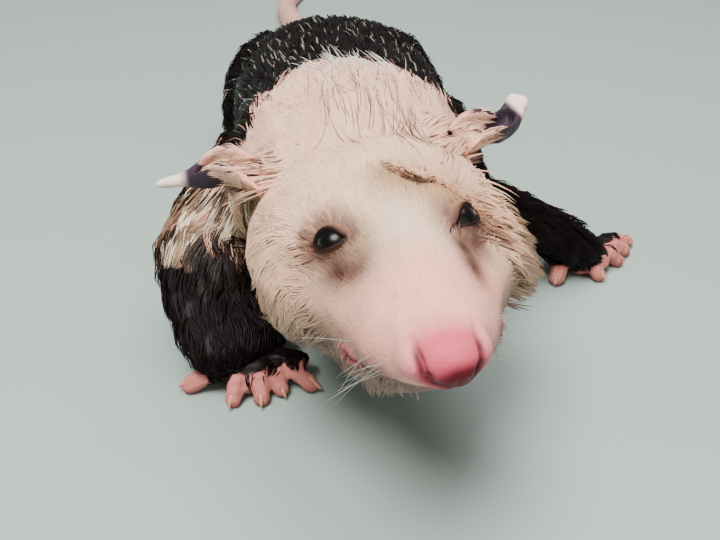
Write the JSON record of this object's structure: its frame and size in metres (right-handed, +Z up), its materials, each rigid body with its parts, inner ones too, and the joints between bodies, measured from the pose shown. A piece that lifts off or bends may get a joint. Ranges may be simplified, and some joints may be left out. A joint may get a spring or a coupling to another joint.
{
  "type": "opossum",
  "caption": "Life-size still model of a wet Virginia opossum crouching on its belly, front paws braced wide, pale head held low, bare tail trailing behind.",
  "frame": {"origin": "on the floor, below the middle of the bounding box", "axes": "the back and tail run along +Y and the animal looks towards -Y; its left side is towards +X; +Z is up from the floor"},
  "size_m": [0.2126, 0.63, 0.0981],
  "materials": {
    "pale_coat": "short wet cream fur over pink skin",
    "dark_coat": "wet black-brown fur in locks, with silver-white guard hairs",
    "bare_skin": "bare pink skin, moist",
    "nose_skin": "bare pink nose, moist",
    "ear_skin": "thin bare purple-grey skin with pale tips",
    "eye": "wet black",
    "claw": "amber horn, slightly shiny"
  },
  "bodies": {
    "root": {"eye_right": "eye", "eye_left": "eye", "nose": "nose_skin", "claw_forepaw_right_1": "claw", "claw_forepaw_right_2": "claw", "claw_forepaw_right_3": "claw", "claw_forepaw_right_4": "claw", "claw_forepaw_right_5": "claw", "claw_forepaw_left_1": "claw", "claw_forepaw_left_2": "claw", "claw_forepaw_left_3": "claw", "claw_forepaw_left_4": "claw", "claw_forepaw_left_5": "claw", "claw_hindfoot_right_2": "claw", "claw_hindfoot_right_3": "claw", "claw_hindfoot_right_4": "claw", "claw_hindfoot_right_5": "claw", "claw_hindfoot_left_2": "claw", "claw_hindfoot_left_3": "claw", "claw_hindfoot_left_4": "claw", "claw_hindfoot_left_5": "claw", "head": "pale_coat", "jaw": "pale_coat", "ear_right": "ear_skin", "ear_left": "ear_skin", "neck": "pale_coat", "trunk": "dark_coat", "upper_arm_right": "dark_coat", "forearm_right": "dark_coat", "forepaw_right": "bare_skin", "upper_arm_left": "dark_coat", "forearm_left": "dark_coat", "forepaw_left": "bare_skin", "thigh_right": "dark_coat", "shank_right": "dark_coat", "hindfoot_right": "bare_skin", "thigh_left": "dark_coat", "shank_left": "dark_coat", "hindfoot_left": "bare_skin", "tail_1": "dark_coat", "tail_2": "bare_skin", "tail_3": "bare_skin", "tail_4": "bare_skin"}
  },
  "joints": []
}
